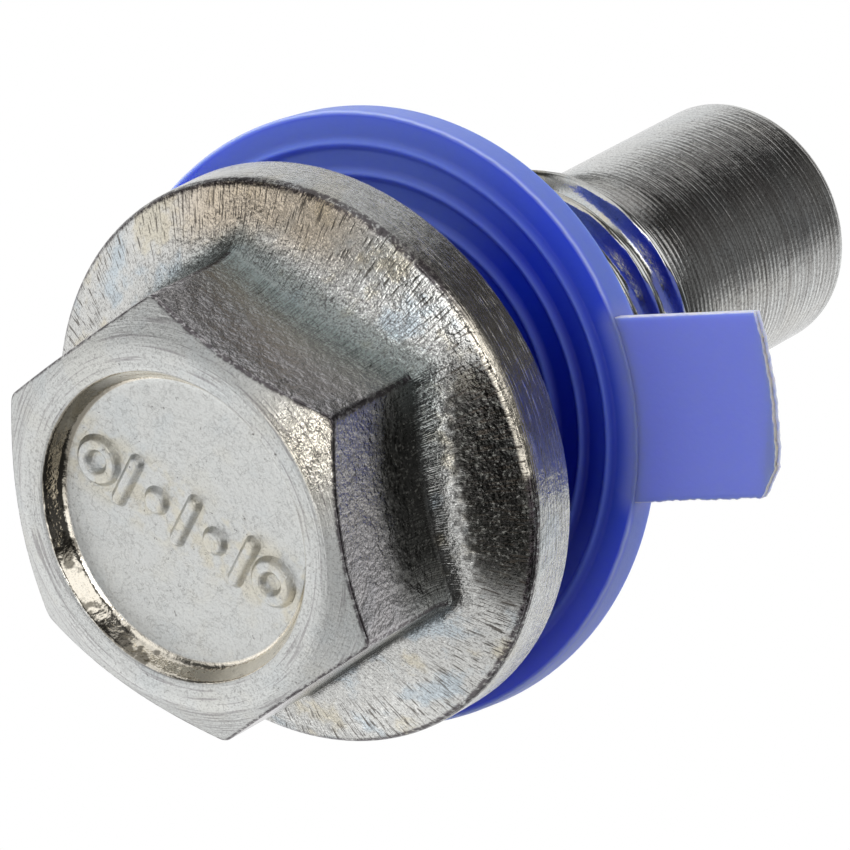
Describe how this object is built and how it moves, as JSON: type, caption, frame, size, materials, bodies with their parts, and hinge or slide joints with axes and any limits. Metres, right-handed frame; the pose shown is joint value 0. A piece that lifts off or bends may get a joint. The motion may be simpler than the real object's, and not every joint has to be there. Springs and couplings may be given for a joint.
{
  "type": "oil drain plug",
  "caption": "Flanged hexagon-head drain plug with a threaded shank, a long plain pilot and a loose ridged sealing washer with a pull tab.",
  "frame": {"origin": "centre of the flange's bearing face", "axes": "+Z runs along the shank to the pilot's tip, and +X passes through a corner of the hexagon"},
  "size_m": [0.0272, 0.0235, 0.037],
  "materials": {
    "zinc_plated_steel": "bright zinc plate over forged and turned steel, with turning marks on the shank",
    "blue_plastic": "moulded, semi-gloss, slightly translucent at its edges"
  },
  "bodies": {
    "root": {"drain_plug": "zinc_plated_steel", "sealing_washer": "blue_plastic"}
  },
  "joints": []
}
